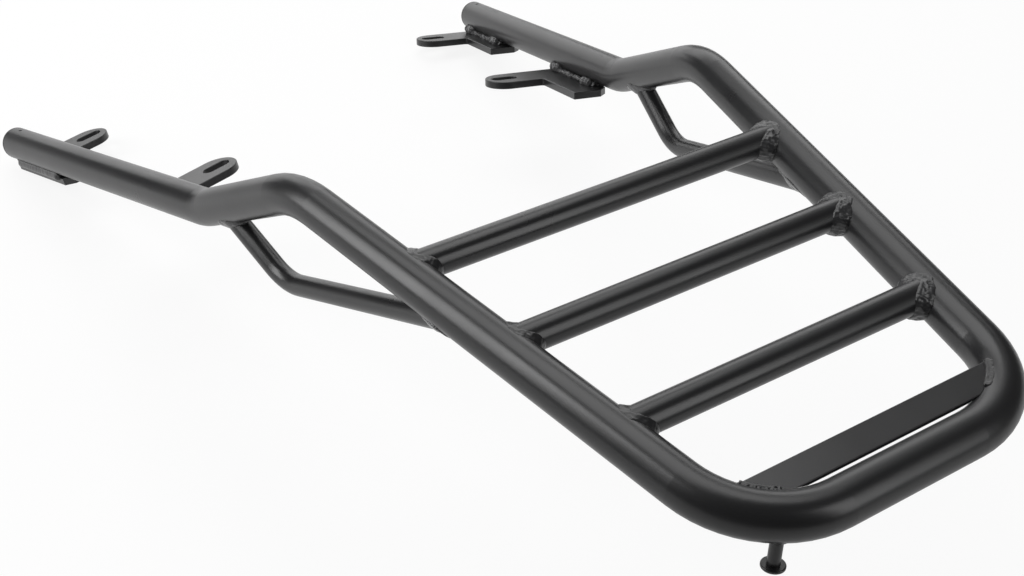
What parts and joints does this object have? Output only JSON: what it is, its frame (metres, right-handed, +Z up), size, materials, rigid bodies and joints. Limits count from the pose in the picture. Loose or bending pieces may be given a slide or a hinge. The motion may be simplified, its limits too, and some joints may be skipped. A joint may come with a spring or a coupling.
{
  "type": "motorcycle luggage rack",
  "caption": "Welded tube luggage rack: a tapered loop with crossbars and side struts, on sloping legs with slotted bracket plates that bolt to the rear of a motorcycle.",
  "frame": {"origin": "middle of the four fixing slots, at the undersides of the bracket plates", "axes": "+X to the motorcycle's right, +Y to its front, +Z up, with the luggage deck level"},
  "size_m": [0.4036, 0.6613, 0.1764],
  "materials": {
    "black_powder_coat": "satin black powder coat on welded steel tube and plate",
    "black_plug_plastic": "matt black moulded plastic"
  },
  "bodies": {
    "root": {"bracket_front_left": "black_powder_coat", "bracket_front_right": "black_powder_coat", "bracket_rear_left": "black_powder_coat", "bracket_rear_right": "black_powder_coat", "crossbar_front": "black_powder_coat", "crossbar_middle": "black_powder_coat", "crossbar_rear": "black_powder_coat", "main_loop": "black_powder_coat", "rear_strip": "black_powder_coat", "strap_knob_left": "black_powder_coat", "strap_knob_right": "black_powder_coat", "strut_left": "black_powder_coat", "strut_right": "black_powder_coat", "weld_bracket_front_left": "black_powder_coat", "weld_bracket_front_right": "black_powder_coat", "weld_bracket_rear_left": "black_powder_coat", "weld_bracket_rear_right": "black_powder_coat", "weld_crossbar_front_left": "black_powder_coat", "weld_crossbar_front_right": "black_powder_coat", "weld_crossbar_middle_left": "black_powder_coat", "weld_crossbar_middle_right": "black_powder_coat", "weld_crossbar_rear_left": "black_powder_coat", "weld_crossbar_rear_right": "black_powder_coat", "weld_knob_left": "black_powder_coat", "weld_knob_right": "black_powder_coat", "weld_strip_left": "black_powder_coat", "weld_strip_right": "black_powder_coat", "weld_strut_rail_left": "black_powder_coat", "weld_strut_rail_right": "black_powder_coat", "weld_strut_ramp_left": "black_powder_coat", "weld_strut_ramp_right": "black_powder_coat", "end_plug_left": "black_plug_plastic", "end_plug_right": "black_plug_plastic"}
  },
  "joints": []
}
